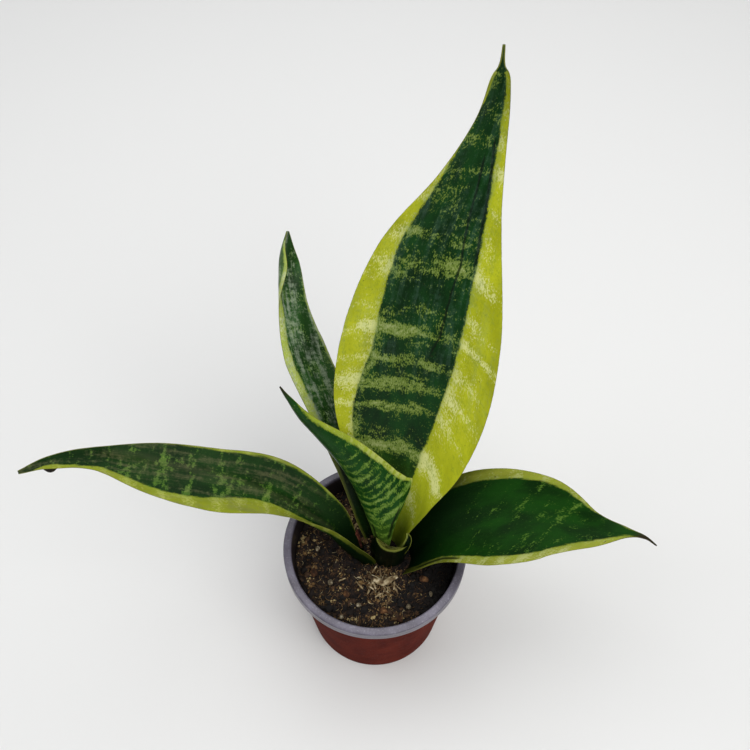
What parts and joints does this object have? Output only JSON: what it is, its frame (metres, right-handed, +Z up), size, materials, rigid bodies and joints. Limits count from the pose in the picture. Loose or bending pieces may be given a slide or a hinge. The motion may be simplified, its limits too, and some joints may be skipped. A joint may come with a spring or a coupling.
{
  "type": "potted snake plant",
  "caption": "Young variegated snake plant with broad green leaves edged in yellow, rooted in potting mix in a small flanged plastic nursery pot.",
  "frame": {"origin": "centre of the pot's underside, on the surface that the pot stands on", "axes": "+Z up along the pot's axis; -Y is the front, towards which the tall leaf's upper side looks; +X is to the right seen from the front"},
  "size_m": [0.2811, 0.1494, 0.2852],
  "materials": {
    "leaf": "satin",
    "dry_leaf": "matte",
    "rhizome": "matte",
    "pot": "satin",
    "mix": "matte",
    "bark": "matte",
    "perlite": "matte"
  },
  "bodies": {
    "root": {"pot": "pot", "soil": "mix", "rhizome": "rhizome", "leaf_tall": "leaf", "leaf_back": "leaf", "leaf_young": "leaf", "leaf_right": "leaf", "leaf_left": "leaf", "leaf_sheath": "leaf", "dried_sheath": "dry_leaf", "perlite_1": "perlite", "perlite_2": "perlite", "perlite_3": "perlite", "perlite_4": "perlite", "perlite_5": "perlite", "perlite_6": "perlite", "bark_1": "bark", "bark_2": "bark", "bark_3": "bark", "bark_4": "bark", "bark_5": "bark", "bark_6": "bark"}
  },
  "joints": []
}
